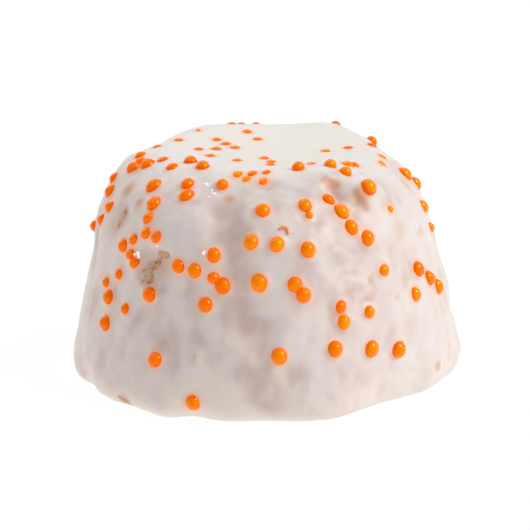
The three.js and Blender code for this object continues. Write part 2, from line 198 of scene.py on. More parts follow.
# Those on top, in the same terms but by their places in plan: to the right of the axis and behind it.
TOP_ROWS = (
    (-4.3, 12.3, None), (-3.1, 13.8, "slight", 2, 1.9, 0.6), (8.7, 11.6, "slight"),
    (13.3, 2.9, "slight"), (-2.3, 9.1, None, 2, 1.3, -3.1), (-6.1, 5.1, None, 3, 1.15, -1.85),
    (-8.25, -0.1, None, 2, 2.15, 0.5), (-6.75, -3.6, None, 2, 3.3, -2.4), (-0.15, -4.5, None),
    (0.7, -6.7, None, 2, -0.1, -1.8), (5.5, -8.4, None), (9.95, -8.1, "full"),
    (10.7, -7.9, "slight"), (7.4, -0.9, None, 2, 2.8, 1.3), (-8.5, 8.3, "small"),
    (-10.9, 4.4, None, 2, -2.5, -2.6), (-15.25, -0.4, None, 2, 0, -2.2),
    (-16, -3.3, None, 2, 1.7, -1.5), (-12.5, -5, None, 2, 1.25, -3.2),
)
# Those on slopes of the top that lie as low as on its level part.
SUNK_ROWS = (
    (-3.3, -12.2, None, 2, 1.7, -0.1), (0.1, -12.4, "slight"), (-2.25, -13.3, None, 2, 2, -0.9),
    (14.4, -1.4, None, 2, -0.2, -2.8),
)
# Those on its left shoulder that stand out as on the wall.
SHOULDER_ROWS = (
    (-9, -7.5, None, 2, 1.5, -2.3),
)
# Those along its edge that stand well out of the glaze.
EDGE_ROWS = (
    (3.9, -11.7, "slight"), (7.6, -10.8, "slight"), (9.3, -11.5, "slight"), (13.2, 8.8, "slight"),
    (-5.2, -13.9, "slight"),
)
# The far side, which the rows leave free: bands of heights, their angles and how many lie in each.
FAR_BANDS = (
    ((23, 25.9), (140, 213), 13),
    ((17, 22.6), (117, 243), 18),
    ((10, 17), (105, 255), 18),
    ((2, 10), (105, 255), 8),
)

# How many places are drawn for a band before the search for free ones ends.
MOST_TRIES = 4000

# Where the glaze on top lies thickest, in millimetres to the right, behind and up.
POOL_MIDDLE = (5, 5, 28)
# Streaks of bare crumb: two ends as angle and height, half width in millimetres, how bare.
BARE_STREAKS = (
    ((-33, 19), (-36.6, 18.85), 0.4, 0.8),
    ((-36.6, 18.8), (-39.2, 17.6), 0.5, 0.75),
    ((-39.2, 17.6), (-41.3, 17.2), 0.6, 0.5),
    ((-41.3, 17.1), (-44.4, 16), 0.7, 0.45),
    ((-41.9, 16.3), (-41.5, 15.7), 0.75, 1.0),
    ((-60.5, 22.7), (-60.2, 20.9), 0.55, 0.75),
    ((-45.2, 1.3), (-42.4, 0.8), 0.3, 0.65),
)
# Patches where the glaze is thin, or thick if the last is negative: angle, height, reach, how thin. Some are
# painted shade, as those under the front edge of the top, and those high on the left shoulder are painted
# sheen.
THIN_AND_SHADED_PATCHES = (
    (-25, 10.2, 4, 0.45), (-17.3, 10.7, 3.4, -1.1), (2, 4.3, 5, 1.0), (0.7, 5.4, 3, 0.6),
    (-13.5, 25, 3.2, 1.1), (-8.5, 26.3, 2.8, 0.8), (0, 26.4, 2.8, 0.8), (9, 26.4, 2.8, 0.8),
    (18, 26.3, 2.8, 0.8), (-8.8, 20.7, 4, 0.9), (-5, 19.1, 2.4, -0.5), (-12.3, 22.9, 3.5, 0.7),
    (-6, 15.5, 5, 0.5), (-37, 13.8, 4.5, 1.0), (-33.5, 18.3, 2.5, 1.0), (-40, 9.3, 5.5, 1.1),
    (19.5, 11.5, 5.5, 0.9), (20, 11.5, 3.5, 0.7), (20, 15.8, 3.8, 0.7), (17, 5.5, 5, 0.8),
    (26, 5.8, 3.5, 0.6), (-31, 3.5, 4.5, -0.4), (-20, 21.3, 4, 0.3), (-21.5, 25.3, 3, 0.9),
    (8, 24.6, 3.5, 1.0), (9, 21.6, 3.2, 0.7), (21.8, 22.8, 3.5, 1.1), (38, 20.4, 2.6, 0.7),
    (35, 16, 3, -0.6), (-52, 26.4, 4, -1.0), (-43, 22.3, 4, -1.0), (39.6, 8.6, 3, 0.7),
    (-80, 18, 5, 1.0), (45, 4.5, 7, -0.6), (60, 9, 8, -0.5), (75, 17, 7, -0.4), (-65, 8, 7, -0.4),
    (-17, 4.8, 4.5, -1.1), (-16, 2.2, 3.5, -0.8),
)
# Soft tan smears, in the same terms, where the cake shows through; those in the hollows under the raised
# edge and the knob are partly painted shade.
TAN_AND_SHADE_SMEARS = (
    (-67, 24.4, 1.8, 0.9), (-52.7, 23.6, 1.4, 0.9), (-15.3, 25.9, 1.1, 0.9), (-8.9, 26.6, 1.6, 0.3),
    (3, 27, 1.6, 0.4), (27.4, 26.7, 1.1, 1.0), (29.6, 26.5, 1.1, 1.0), (31.8, 26.4, 0.9, 0.8),
    (33.3, 27.1, 1.1, 0.4), (37.2, 25.15, 1.1, 0.9), (38.3, 24.6, 1.05, 0.9),
    (39.6, 23.9, 0.9, 0.7), (-21.6, 7.2, 0.8, 0.35), (20.1, 22.9, 1.8, 0.28),
    (24.7, 19.2, 1.6, 0.25), (46.4, 19.2, 2, 0.3), (51.7, 20.9, 2, 0.28), (54.5, 25.9, 1.6, 0.2),
    (50.4, 27, 0.7, 0.3), (49.2, 26.3, 0.7, 0.35), (47.8, 25.7, 0.6, 0.3), (29.2, 15.5, 1.6, 0.18),
    (34.4, 15.1, 1.8, 0.12), (50.5, 9.3, 2.4, 0.25), (62, 3.4, 1.1, 0.8), (72.2, 4.8, 0.7, 0.35),
    (66.5, 2.9, 0.7, 0.3), (39, 2.5, 1.7, 0.2), (24, 2, 4, 0.14), (69.5, 16.3, 2.5, 0.2),
    (-43.6, 1, 1.7, 0.7), (-69, 1.5, 0.9, 0.3), (-60.3, 21.6, 1.7, 0.5), (-62, 20, 1.6, 0.3),
    (-37.8, 17.7, 2.8, 0.4),
)
# Patches where the glaze dried in wrinkles, in the same terms.
WRINKLED_PATCHES = (
    (29, 17, 7, 0.7), (46, 17, 9, 0.9), (62, 21, 8, 0.9), (62, 12, 9, 0.8), (40, 9, 7, 0.4),
    (78, 16, 9, 0.8), (54, 5, 7, 0.4), (80, 5, 7, 0.7), (-56, 20, 6, 0.4),
)
# Low ridges in the glaze: two ends as angle and height, half width in millimetres, share of the rise.
RIDGES = (
    ((27.5, 16.2), (32.5, 15.6), 0.9, 0.9),
    ((29.5, 14.4), (35, 15), 0.8, 0.8),
    ((24, 19.5), (29, 18.6), 1.0, 0.5),
    ((44.5, 26.9), (48, 25), 0.6, 0.9),
)
# Places of the broken shell, the chip of crumb and clusters of sugar crystals, with their counts.
SHELL_PLACE = (5.9, 22.25)
CHIP_PLACE = (-21.2, 7.75)
CRYSTAL_CLUSTERS = ((-26.5, 26.7, 3), (-23.2, 26.1, 5), (-46.8, 18.2, 9), (-20.4, 19.75, 2), (-38, 19.6, 1))


def length(name, description, millimetres):
    """A size that a user would change, shown in Blender's own unit."""
    return FloatProperty(
        name=name, description=description, default=millimetres * MM, unit="LENGTH", precision=5
    )


def share(name, description, default):
    """A number from 0 to 1."""
    return FloatProperty(
        name=name, description=description, default=default, min=0, max=1, subtype="FACTOR"
    )


def amount(name, description, default):
    """A plain number."""
    return FloatProperty(name=name, description=description, default=default)


def turn(name, description, degrees):
    """An angle."""
    return FloatProperty(
        name=name, description=description, default=math.radians(degrees), subtype="ANGLE"
    )


def colour(name, description, default):
    """A colour, in linear light."""
    return FloatVectorProperty(
        name=name, description=description, default=default, size=3, min=0, max=1, subtype="COLOR"
    )


class CakeSizes(bpy.types.PropertyGroup):
    """The smooth cake before its lumps, and how finely its coat is made."""

    height: length("Height", "Height of the smooth cake", 28)
    widest_radius: length("Widest radius", "Radius where the wall is widest", 24)
    widest_height: length("Widest height", "Height of the widest ring", 2.8)
    foot_tuck: length("Foot tuck", "How far the wall draws in under its widest ring", 2.1)
    taper: turn("Taper", "Lean of the wall", 11.3)
    shoulder_height: length("Shoulder height", "Where the wall starts to round over", 20)
    shoulder_round: length("Shoulder round", "How far in the shoulder rounds", 7.2)
    shoulder_fullness: amount("Shoulder fullness", "2 is an ellipse, less is nearer a bevel", 1.75)
    pool_sag: length("Pool sag", "Dip in the middle of the glaze on top", 0.35)
    steps_around: IntProperty(name="Steps around", description="Columns of the spun coat", default=150)
    rings: IntProperty(name="Rings", description="Rings of the spun coat", default=66)
    facet: length("Facet", "Size of the finished coat's faces", 0.3)


class GlazeSizes(bpy.types.PropertyGroup):
    """Low relief of the glaze."""

    crumb_size: length("Crumb size", "Size of the crumb that shows under the glaze", 2.6)
    crumb_depth: length("Crumb depth", "Height of that relief", 0.32)
    grain_size: length("Grain size", "Size of the finer unevenness", 0.9)
    grain_depth: length("Grain depth", "Height of the finer unevenness", 0.05)
    pool_share: share("Pool share", "How much of the relief is left on the level top", 0.12)
    collar_width: length("Collar width", "How far the glaze climbs towards a sprinkle", 0.5)
    collar_rise: length("Collar rise", "How high the glaze climbs at a sprinkle", 0.13)
    dye_width: length("Dye width", "How far colour bleeds from a sprinkle", 0.6)
    wrinkle_size: length("Wrinkle size", "Size of the wrinkles", 1.8)
    wrinkle_depth: length("Wrinkle depth", "Height of the wrinkles", 0.2)
    ridge_rise: length("Ridge rise", "Height of the low ridges", 0.28)
    pit_size: length("Pit size", "Size of the pits in bare crumb", 0.9)
    pit_depth: length("Pit depth", "Depth of the pits in bare crumb", 0.15)


class SprinkleSizes(bpy.types.PropertyGroup):
    """The sugar sprinkles and the smaller loose bits."""

    least: length("Least diameter", "Diameter of the smallest drawn sprinkle", 1.54)
    most: length("Most diameter", "Diameter of the largest drawn sprinkle", 2.0)
    big: length("Big one", "Diameter of the few big ones", 2.12)
    full: length("Full one", "Diameter of those that are more than common", 1.95)
    slight: length("Slight one", "Diameter of those that are less than common", 1.48)
    small: length("Small one", "Diameter of the few small ones", 1.0)
    shown_on_wall: share("Shown on wall", "Share of the diameter out of the glaze on the wall", 0.43)
    shown_on_edge: share("Shown on edge", "The same along the edge of the top", 0.6)
    shown_on_top: share("Shown on top", "The same on the level top", 0.16)
    level_from: share("Level from", "Upward part of the normal where the top's share starts", 0.84)
    level_to: share("Level to", "Upward part of the normal where the top's share holds", 0.99)
    pair_share: share("Pairs", "How often a sprinkle has another stuck to it", 0.34)
    pair_gap: amount("Pair gap", "Centre distance of a pair, in mean diameters", 1.03)
    free_gap: amount("Free gap", "Least centre distance of two that aren't a pair, in diameters", 1.7)
    egg: share("Egg", "How far a sprinkle departs from round", 0.05)
    tallness: amount("Tallness", "Height of a sprinkle on the wall, in widths, but for the left", 1.09)
    tallness_left: amount("Tallness on the left", "What is added to it high on the left", 0.22)
    lean_left: share("Lean on the left", "How far sprinkles high on the left lean inwards", 0.17)
    lean_right: share("Lean on the right", "How far sprinkles on the right lean inwards", 0.11)
    grain_least: length("Least grain", "Radius of the smallest crumb grain", 0.1)
    grain_most: length("Most grain", "Radius of the largest crumb grain", 0.24)
    crystal: length("Crystal", "Half the size of a sugar crystal", 0.12)
    shell_radius: length("Shell radius", "Radius of the broken sprinkle", 0.75)
    shell_wall: length("Shell wall", "Thickness of the broken sprinkle", 0.28)


class CakeColours(bpy.types.PropertyGroup):
    """Colours of the cake's finishes."""

    ivory: colour("Ivory", "Thick glaze in the middle of the top", (0.875, 0.83, 0.755))
    white: colour("White", "Glaze of common thickness", (0.85, 0.805, 0.775))
    veil: colour("Veil", "Thin glaze on the wall", (0.85, 0.735, 0.685))
    shade: colour("Shade", "Thinner glaze, where the cake shows through", (0.67, 0.525, 0.475))
    # Also the painted shade in the hollows of the glaze and beside the knob.
    tan: colour("Tan", "Glaze where the cake shows most", (0.69, 0.33, 0.17))
    rim: colour("Rim", "Glaze that ran down to the foot", (0.89, 0.775, 0.69))
    dye: colour("Dye", "Glaze coloured by a sprinkle", (1.0, 0.45, 0.25))
    # Painted glow: the colour of light given off by the glaze round each sprinkle.
    painted_glow_round_sprinkles: colour("Dye glow", "Light that a sprinkle sends into the glaze", (0.9, 0.75, 0.35))
    crumb: colour("Crumb", "Bare cake", (0.67, 0.36, 0.17))
    crumb_dark: colour("Dark crumb", "Browned crumb", (0.42, 0.16, 0.045))
    # Pale crumb of the grains, and the painted highlights of lit grains in the bare spots.
    pale_crumb_and_highlight: colour("Pale crumb", "Crumb dusted with sugar", (0.74, 0.50, 0.34))
    orange: colour("Orange", "Sprinkles, the lighter ones", (1.0, 0.33, 0.0))
    deep_orange: colour("Deep orange", "Sprinkles, the redder ones", (1.0, 0.18, 0.0))
    # Painted shade where sprinkles meet the glaze, and the colour of their painted glow.
    painted_shade_and_glow_red: colour("Red orange", "Sprinkles where they meet the glaze", (0.80, 0.075, 0.0))
    orange_gloss: colour("Orange gloss", "Light that sprinkles reflect", (1.0, 0.5, 0.1))
    # Also the colour of the shell's painted glow.
    burnt_orange: colour("Burnt orange", "The broken sprinkle", (0.80, 0.24, 0.05))
    # Also the colour of the crystals' painted glow.
    sugar: colour("Sugar", "Sugar crystals", (0.93, 0.93, 0.95))


class StudioSettings(bpy.types.PropertyGroup):
    """Floor, lights and camera."""

    floor_radius: length("Floor radius", "Reach of the floor", 6000)
    floor: colour("Floor", "Floor colour", (0.1, 0.1, 0.1))
    floor_glow: amount("Floor glow", "Light that comes through the floor", 0.93)
    key_strength: amount("Key", "Strength of the soft light from the right", 1.75)
    key_azimuth: turn("Key azimuth", "Angle of the key light to the right of the camera", 80)
    key_elevation: turn("Key elevation", "Angle of the key light above the floor", 42)
    key_spread: turn("Key spread", "Apparent size of the key light", 40)
    back_strength: amount("Back light", "Strength of the soft light from behind on the left", 1.15)
    back_azimuth: turn("Back light azimuth", "Angle of the back light to the right of the camera", 215)
    back_elevation: turn("Back light elevation", "Angle of the back light above the floor", 42)
    back_spread: turn("Back light spread", "Apparent size of the back light", 70)
    glint_strength: amount("Glint", "Strength of the small light that only glints", 3.0)
    glint_azimuth: turn("Glint azimuth", "Angle of the glinting light to the right of the camera", 60)
    glint_elevation: turn("Glint elevation", "Angle of the glinting light above the floor", 40)
    glint_spread: turn("Glint spread", "Apparent size of the glinting light", 11)
    sky_strength: amount("Sky", "Strength of the even light from all round", 0.36)
    camera_distance: length("Camera distance", "From the camera to the point it looks at", 300)
    camera_elevation: turn("Camera elevation", "Angle of the camera above the floor", 15.5)
    camera_aim: FloatVectorProperty(
        name="Camera aim",
        description="The point that the camera looks at",
        default=(-0.05 * MM, 0, 13 * MM),
        size=3,
        subtype="TRANSLATION",
    )
    camera_lens: amount("Camera lens", "Focal length in millimetres on a 36 mm sensor", 163)


class CakeBiteSettings(bpy.types.PropertyGroup):
    """All settings of the cake bite."""

    cake: PointerProperty(type=CakeSizes)
    glaze: PointerProperty(type=GlazeSizes)
    sprinkles: PointerProperty(type=SprinkleSizes)
    colours: PointerProperty(type=CakeColours)
    studio: PointerProperty(type=StudioSettings)


def settings():
    return bpy.context.scene.cake_bite


def make_draw(seed):
    """Gives a function whose calls give the same row of numbers from 0 to 1 for the same seed."""
    state = seed

    def draw():
        nonlocal state
        state = state * DRAW_FACTOR % DRAW_LIMIT
        return state / DRAW_LIMIT

    return draw


def within(ends, part):
    """The value at a part of the way from the first end to the second."""
    return ends[0] + (ends[1] - ends[0]) * part


def smoothstep(values, low, high):
    """Goes softly from 0 to 1 as the values go from low to high."""
    part = np.clip((values - low) / (high - low), 0, 1)
    return part * part * (3 - 2 * part)


def around(angle, radius, height):
    """The point at an angle from the front, a radius from the axis and a height."""
    turned = math.radians(angle)
    return Vector((radius * math.sin(turned), -radius * math.cos(turned), height))


class CakeOutline:
    """Half of the smooth cake's section: up the wall, over the shoulder and in to the axis."""

    def __init__(self, cake):
        self.cake = cake
        self.lean = math.tan(cake.taper)
        self.top_radius = self.tapered(cake.height) - cake.shoulder_round
        part = np.linspace(0, 1, OUTLINE_POINTS)
        wall, shoulder, top = self.wall(part), self.shoulder(part[1:]), self.top(part[1:])
        self.radii, self.heights = np.concatenate([wall, shoulder, top], axis=1)
        steps = np.hypot(np.diff(self.radii), np.diff(self.heights))
        self.length = steps.sum()
        self.shares = np.concatenate([[0], np.cumsum(steps)]) / self.length
        self.wall_end = wall.shape[1] - 1
        self.top_start = self.wall_end + shoulder.shape[1]

    def tapered(self, height):
        return self.cake.widest_radius - self.lean * (height - self.cake.widest_height)

    def wall(self, part):
        height = self.cake.shoulder_height * part
        under = np.maximum(0, 1 - height / self.cake.widest_height)
        return np.array([self.tapered(height) - self.cake.foot_tuck * (1 - np.sqrt(1 - under**2)), height])

    def shoulder(self, part):
        low, high, power = self.cake.shoulder_height, self.cake.height, 2 / self.cake.shoulder_fullness
        height = low + (high - low) * np.sin(part * math.pi / 2) ** power
        drawn_in = 1 - np.abs(np.cos(part * math.pi / 2)) ** power
        return np.array([self.tapered(height) - self.cake.shoulder_round * drawn_in, height])

    def top(self, part):
        sag = self.cake.pool_sag * part * (2 - part)
        return np.array([self.top_radius * (1 - part), self.cake.height - sag])

    def at(self, share_along):
        """Radius and height at a share of the outline's length."""
        radius = np.interp(share_along, self.shares, self.radii)
        return radius, np.interp(share_along, self.shares, self.heights)

    def share_at_height(self, height):
        climb = slice(0, self.top_start + 1)
        return np.interp(height, self.heights[climb], self.shares[climb])

    def share_at_radius(self, radius):
        inward = slice(self.wall_end, None)
        return np.interp(-radius, -self.radii[inward], self.shares[inward])

    def point(self, angle, share_along):
        return around(angle, *self.at(share_along))

    def outward(self, angle, share_along):
        """The smooth cake's outward direction, never downwards."""
        before, after = self.at(share_along - OUTLINE_STEP), self.at(share_along + OUTLINE_STEP)
        return around(angle, after[1] - before[1], max(0, before[0] - after[0])).normalized()


def all_lumps():
    """Every lump as angle, height, reach and push, in millimetres, in the order of pressing."""
    draw = make_draw(LUMP_SEED)
    lumps = list(FRONT_LUMPS)
    for i in range(GROOVE_DENTS):
        along = i / (GROOVE_DENTS - 1)
        (first_angle, first_height), (last_angle, last_height) = GROOVE_ENDS
        angle = within((first_angle, last_angle), along)
        lumps.append((angle, within((first_height, last_height), along), GROOVE_REACH, GROOVE_PUSH))
    for spread in (CRUMB_LUMPS, FOOT_LOBES):
        for i in range(spread["count"]):
            height = within(spread["heights"], (i + draw()) / spread["count"])
            reach = within(spread["reach"], draw())
            lumps.append((i * GOLDEN_ANGLE % 360, height, reach, within(spread["push"], draw())))
    return lumps


def start_fresh():
    """Deselects everything, the CAD nodes too."""
    bpy.ops.object.select_all(action="DESELECT")


@contextmanager
def editing():
    """Edit mode on the active object, with all of it selected."""
    bpy.ops.object.mode_set(mode="EDIT")
    bpy.ops.mesh.select_all(action="SELECT")
    yield bpy.context.active_object
    bpy.ops.object.mode_set(mode="OBJECT")


def keep_side(direction, distance, fill=False):
    """Cuts what is being edited by a plane and keeps the side that the direction points to."""
    bpy.ops.mesh.select_all(action="SELECT")
    place = Vector(direction) * distance
    bpy.ops.mesh.bisect(plane_co=place, plane_no=direction, clear_inner=True, use_fill=fill)


def finish_with(piece, kind, **values):
    """Adds a modifier with these values and applies it."""
    bpy.context.view_layer.objects.active = piece
    modifier = piece.modifiers.new(kind.lower(), kind)
    for name, value in values.items():
        setattr(modifier, name, value)
    bpy.ops.object.modifier_apply(modifier=modifier.name)


def displace(piece, name, weights, strength, mid_level=0.5, size=None, detail=1):
    """Moves points along their normals where they have weight, evenly or by clouds of a size."""
    values = {}
    if size:
        values["texture"] = bpy.data.textures.new(name, "CLOUDS")
        values["texture"].noise_scale = size
        values["texture"].noise_depth = detail
        values["texture_coords"] = "LOCAL"
    values["vertex_group"] = weigh(piece, name, weights)
    finish_with(piece, "DISPLACE", strength=strength, mid_level=mid_level, **values)


def rows_of(items, field):
    """A vector of each item, as an array with one row each."""
    values = np.empty(len(items) * 3, dtype=np.float32)
    items.foreach_get(field, values)
    return values.reshape(-1, 3).astype(float)


def points_of(piece):
    return rows_of(piece.data.vertices, "co")


def normals_of(piece):
    return rows_of(piece.data.vertex_normals, "vector")


def store(piece, name, values):
    """Keeps a number at each point, for the material to read."""
    attribute = piece.data.attributes.new(name, "FLOAT", "POINT")
    attribute.data.foreach_set("value", np.asarray(values, dtype=np.float32))


def weigh(piece, name, values):
    """Makes a vertex group of these weights and gives its name."""
    group = piece.vertex_groups.new(name=name)
    levels = np.rint(np.clip(values, 0, 1) * WEIGHT_LEVELS).astype(int)
    for level in range(1, WEIGHT_LEVELS + 1):
        group.add(np.flatnonzero(levels == level).tolist(), level / WEIGHT_LEVELS, "REPLACE")
    return group.name


def hollows_of(piece):
    """How far each point lies below those around it, from -1 on a bump to 1 in a hollow."""
    points, normals = points_of(piece), normals_of(piece)
    ends = np.empty(len(piece.data.edges) * 2, dtype=np.int32)
    piece.data.edges.foreach_get("vertices", ends)
    first, second = ends.reshape(-1, 2).T
    neighbours = np.bincount(ends, minlength=len(points))

    def mean_around(values):
        forward = np.bincount(first, values[second], len(points))
        return (forward + np.bincount(second, values[first], len(points))) / neighbours

    middles = np.stack([mean_around(points[:, axis]) for axis in range(3)], axis=1)
    hollow = ((middles - points) * normals).sum(axis=1)
    for _ in range(HOLLOW_SMOOTHINGS):
        hollow = mean_around(hollow)
    return np.clip(hollow / (2 * hollow.std()), -1, 1)


def spots(points, surface, table):
    """How much each point belongs to the soft spots of a table."""
    total = np.zeros(len(points))
    for angle, height, reach, how in table:
        gap = np.linalg.norm(points - surface.at(angle, height), axis=1)
        total += how * (1 - smoothstep(gap, SPOT_CORE * reach * MM, reach * MM))
    return total


def from_segment(points, start, end):
    """How far each point is from a straight line between two places."""
    along = end - start
    part = np.clip((points - start) @ along / max(along @ along, SAME_POINT**2), 0, 1)
    return np.linalg.norm(points - start - part[:, None] * along, axis=1)


def streaks(points, surface, table, spread=1):
    """How much each point belongs to the streaks of a table, whose half widths are spread."""
    most = np.zeros(len(points))
    for start, end, half_width, how in table:
        gap = from_segment(points, surface.at(*start), surface.at(*end))
        most = np.maximum(most, how * (1 - smoothstep(gap, 0, spread * half_width * MM)))
    return most


class CoatSurface:
    """The coat as it is now, as a thing to place on."""

    def __init__(self):
        self.outline = CakeOutline(settings().cake)
        self.tree = BVHTree.FromObject(bpy.data.objects[COAT], bpy.context.evaluated_depsgraph_get())

    def point(self, angle, share_along):
        out = self.outline.outward(angle, share_along)
        start = self.outline.point(angle, share_along) + out * RAY_START
        hit = self.tree.ray_cast(start, -out)[0]
        if hit is None:
            raise RuntimeError(f"no glaze at angle {angle:.1f} and share {share_along:.3f}")
        return hit

    def normal(self, angle, share_along):
        along = self.point(angle, share_along + NORMAL_CLIMB) - self.point(angle, share_along - NORMAL_CLIMB)
        across = self.point(angle + NORMAL_TURN, share_along) - self.point(angle - NORMAL_TURN, share_along)
        return across.cross(along).normalized()

    def at(self, angle, millimetres_high):
        return np.array(self.point(angle, self.outline.share_at_height(millimetres_high * MM)))


class Finish:
    """A material whose nodes are wired as they are added."""

    def __init__(self, name):
        self.material = bpy.data.materials.new(name)
        self.material.use_nodes = True
        self.tree = self.material.node_tree
        self.shader = self.tree.nodes["Principled BSDF"]

    def set(self, **values):
        """Sets sockets of the shader, named in lower case with underscores."""
        for name, value in values.items():
            self.feed(self.shader.inputs[name.replace("_", " ").title().replace("Ior", "IOR")], value)

    def feed(self, socket, value):
        if isinstance(value, bpy.types.NodeSocket):
            self.tree.links.new(value, socket)
        elif socket.type == "RGBA":
            socket.default_value = (*value, 1)
        else:
            socket.default_value = value

    def node(self, kind, inputs, **values):
        node = self.tree.nodes.new(kind)
        for name, value in values.items():
            setattr(node, name, value)
        for name, value in inputs.items():
            self.feed(node.inputs[name], value)
        return node

    def places(self, stretch=(1, 1, 1)):
        """Object coordinates, stretched."""
        coordinates = self.node("ShaderNodeTexCoord", {})
        return self.node(
            "ShaderNodeMapping", {"Vector": coordinates.outputs["Object"], "Scale": stretch}
        ).outputs["Vector"]

    def noise(self, places, size, detail=2.0, roughness=0.5):
        """Noise whose lumps are about this size, from 0 to 1."""
        inputs = {"Vector": places, "Scale": 1 / size, "Detail": detail, "Roughness": roughness}
        return self.node("ShaderNodeTexNoise", inputs).outputs["Fac"]

    def attribute(self, name):
        return self.node("ShaderNodeAttribute", {}, attribute_name=name).outputs["Fac"]

    def height(self):
        coordinates = self.node("ShaderNodeTexCoord", {})
        return self.node("ShaderNodeSeparateXYZ", {"Vector": coordinates.outputs["Object"]}).outputs["Z"]

    def between(self, value, low, high, first=0.0, last=1.0):
        """Goes softly from first to last as the value goes from low to high."""
        inputs = {"Value": value, "From Min": low, "From Max": high, "To Min": first, "To Max": last}
        return self.node("ShaderNodeMapRange", inputs, interpolation_type="SMOOTHSTEP").outputs["Result"]

    def math(self, operation, first, second):
        return self.node("ShaderNodeMath", {0: first, 1: second}, operation=operation).outputs[0]

    def times(self, first, second):
        return self.math("MULTIPLY", first, second)

    def plus(self, first, second):
        return self.math("ADD", first, second)

    def summed(self, *pairs):
        """The sum of values, each times its own share."""
        total = 0.0
        for value, part in pairs:
            total = self.plus(total, self.times(value, part))
        return total

    def mix(self, part, first, second, most=1.0):
        """From the first colour to the second as the part goes from 0 to 1, but no further than most."""
        node = self.node("ShaderNodeMix", {"Factor": self.times(part, most)}, data_type="RGBA")
        ends = [socket for socket in node.inputs if socket.type == "RGBA"]
        self.feed(ends[0], first)
        self.feed(ends[1], second)
        return next(socket for socket in node.outputs if socket.type == "RGBA")

    def bump(self, height, distance, strength):
        inputs = {"Height": height, "Distance": distance, "Strength": strength}
        return self.node("ShaderNodeBump", inputs).outputs["Normal"]


def mottled(finish):
    """The glaze's colour: mottled where the cake shows through, with painted shade and sheen in some of the
    given patches, tan as painted shade in its hollows, ivory in the pool, warm at the foot.
    """
    colours = settings().colours
    drawn_down = finish.places(stretch=(1, 1, 0.72))
    broad = finish.noise(drawn_down, size=10 * MM, detail=1.0)
    soft = finish.noise(drawn_down, size=3.9 * MM, detail=1.0)
    fine = finish.noise(drawn_down, size=1.7 * MM, detail=1.0)
    # The thin mask darkens where the glaze is thin and where painted shade is given, and lightens where it
    # is thick and where painted sheen is given.
    thin = finish.attribute("thin")
    cover = finish.summed((broad, 0.3), (soft, 0.5), (fine, 0.2), (thin, -0.11))
    tint = finish.mix(finish.between(cover, low=0.31, high=0.53), colours.shade, colours.veil)
    tint = finish.mix(finish.between(cover, low=0.5, high=0.72), tint, colours.white)
    # Painted shade: the hollows of the glaze are tinted tan, the more where it is wrinkled.
    painted_hollow_shade = finish.between(finish.attribute("hollow"), low=0.05, high=0.9)
    dried = finish.between(finish.attribute("wrinkled"), low=0.0, high=1.0, first=0.12, last=0.42)
    tint = finish.mix(finish.times(painted_hollow_shade, dried), tint, colours.tan)
    top = finish.mix(finish.attribute("ivory"), colours.white, colours.ivory)
    tint = finish.mix(finish.attribute("pool"), tint, top)
    run_down = finish.summed((finish.height(), 1.0), (broad, 5 * MM), (thin, 2.5 * MM))
    low_down = finish.between(run_down, low=3.2 * MM, high=7.5 * MM, first=1.0, last=0.0)
    return finish.mix(low_down, tint, colours.rim, most=0.85)


def stained(finish, tint):
    """The glaze's colour with its tan smears, partly painted shade beside the knob, and dyed at the
    sprinkles.
    """
    colours = settings().colours
    lumps = finish.noise(finish.places(), size=2.2 * MM, detail=3.0)
    patchy = finish.between(lumps, low=0.3, high=0.65, first=0.7, last=1.0)
    smear = finish.times(finish.attribute("tan"), patchy)
    tint = finish.mix(smear, tint, colours.tan, most=0.95)
    return finish.mix(finish.attribute("dye"), tint, colours.dye, most=0.9)


def laid_bare(finish, tint):
    """The glaze's colour with ragged spots of bare crumb, which are specked and given painted highlights of
    lit grains.
    """
    colours = settings().colours
    speckle = finish.noise(finish.places(), size=0.75 * MM, detail=2.0)
    lumps = finish.noise(finish.places(), size=1.7 * MM, detail=3.0)
    ragged = finish.between(lumps, low=0.35, high=0.6, first=0.35, last=1.3)
    torn = finish.times(finish.attribute("bare"), ragged)
    tint = finish.mix(finish.between(torn, low=0.05, high=0.8), tint, colours.crumb, most=0.95)
    open_crumb = finish.between(torn, low=0.3, high=0.8)
    specks = finish.times(finish.between(speckle, low=0.5, high=0.62), open_crumb)
    tint = finish.mix(specks, tint, colours.crumb_dark, most=0.85)
    # Painted highlights of lit grains in the bare crumb.
    painted_highlight = finish.times(finish.between(speckle, low=0.44, high=0.34), open_crumb)
    return finish.mix(painted_highlight, tint, colours.pale_crumb_and_highlight, most=0.6)


def glaze_finish():
    """Satin sugar glaze that lets a little light in, with a painted glow round the sprinkles."""
    colours = settings().colours
    finish = Finish("sugar_glaze")
    even = finish.places()
    grain = finish.noise(even, size=0.5 * MM, detail=4.0, roughness=0.6)
    satin = finish.noise(even, size=1.6 * MM)
    finish.set(
        base_color=laid_bare(finish, stained(finish, mottled(finish))),
        roughness=finish.between(satin, low=0.3, high=0.7, first=0.42, last=0.56),
        normal=finish.bump(grain, distance=0.06 * MM, strength=0.3),
        subsurface_weight=0.18,
        subsurface_radius=(1.0, 0.72, 0.55),
        subsurface_scale=1.0 * MM,
        specular_ior_level=0.35,
        # Painted glow in the glaze round each sprinkle, by the dye mask.
        emission_color=finish.mix(finish.attribute("dye"), (0, 0, 0), colours.painted_glow_round_sprinkles),
        emission_strength=0.1,
    )
    return finish.material


